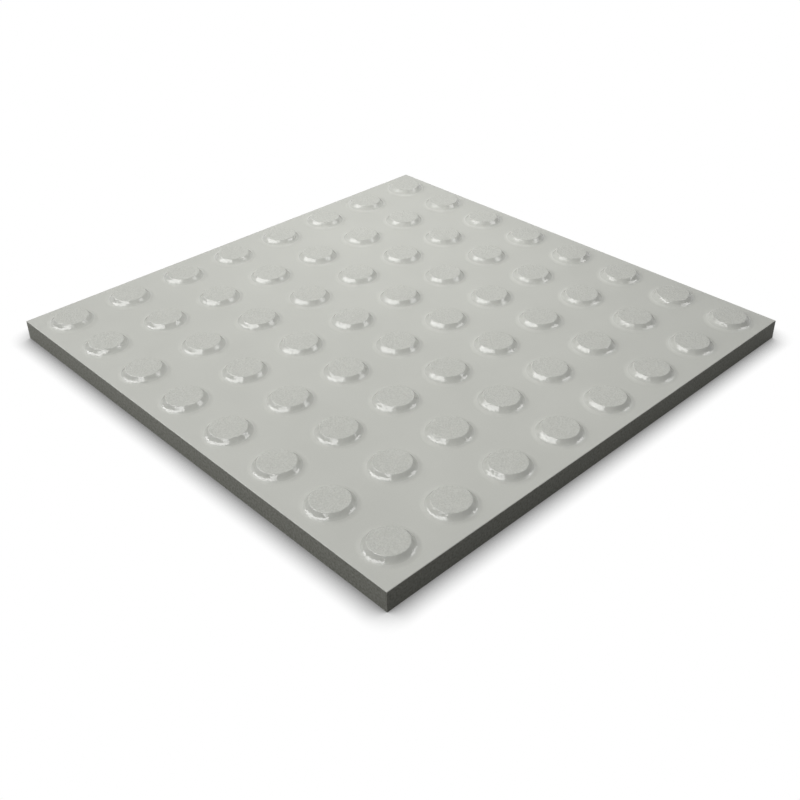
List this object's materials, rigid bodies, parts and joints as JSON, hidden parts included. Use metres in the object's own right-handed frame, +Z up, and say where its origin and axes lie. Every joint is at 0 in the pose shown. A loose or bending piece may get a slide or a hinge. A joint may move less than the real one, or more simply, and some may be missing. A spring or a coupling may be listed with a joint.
{
  "type": "tactile paving slab",
  "caption": "Square light-grey ceramic paving slab with rows of low flat-topped round blisters, laid as a warning surface that is felt underfoot.",
  "frame": {"origin": "middle of the underside, on the bed that the slab lies on", "axes": "+Z up out of the walking face, X and Y along the slab's edges"},
  "size_m": [0.4, 0.4, 0.0195],
  "materials": {
    "ceramic": "satin"
  },
  "bodies": {
    "root": {"tactile_paving_slab": "ceramic"}
  },
  "joints": []
}
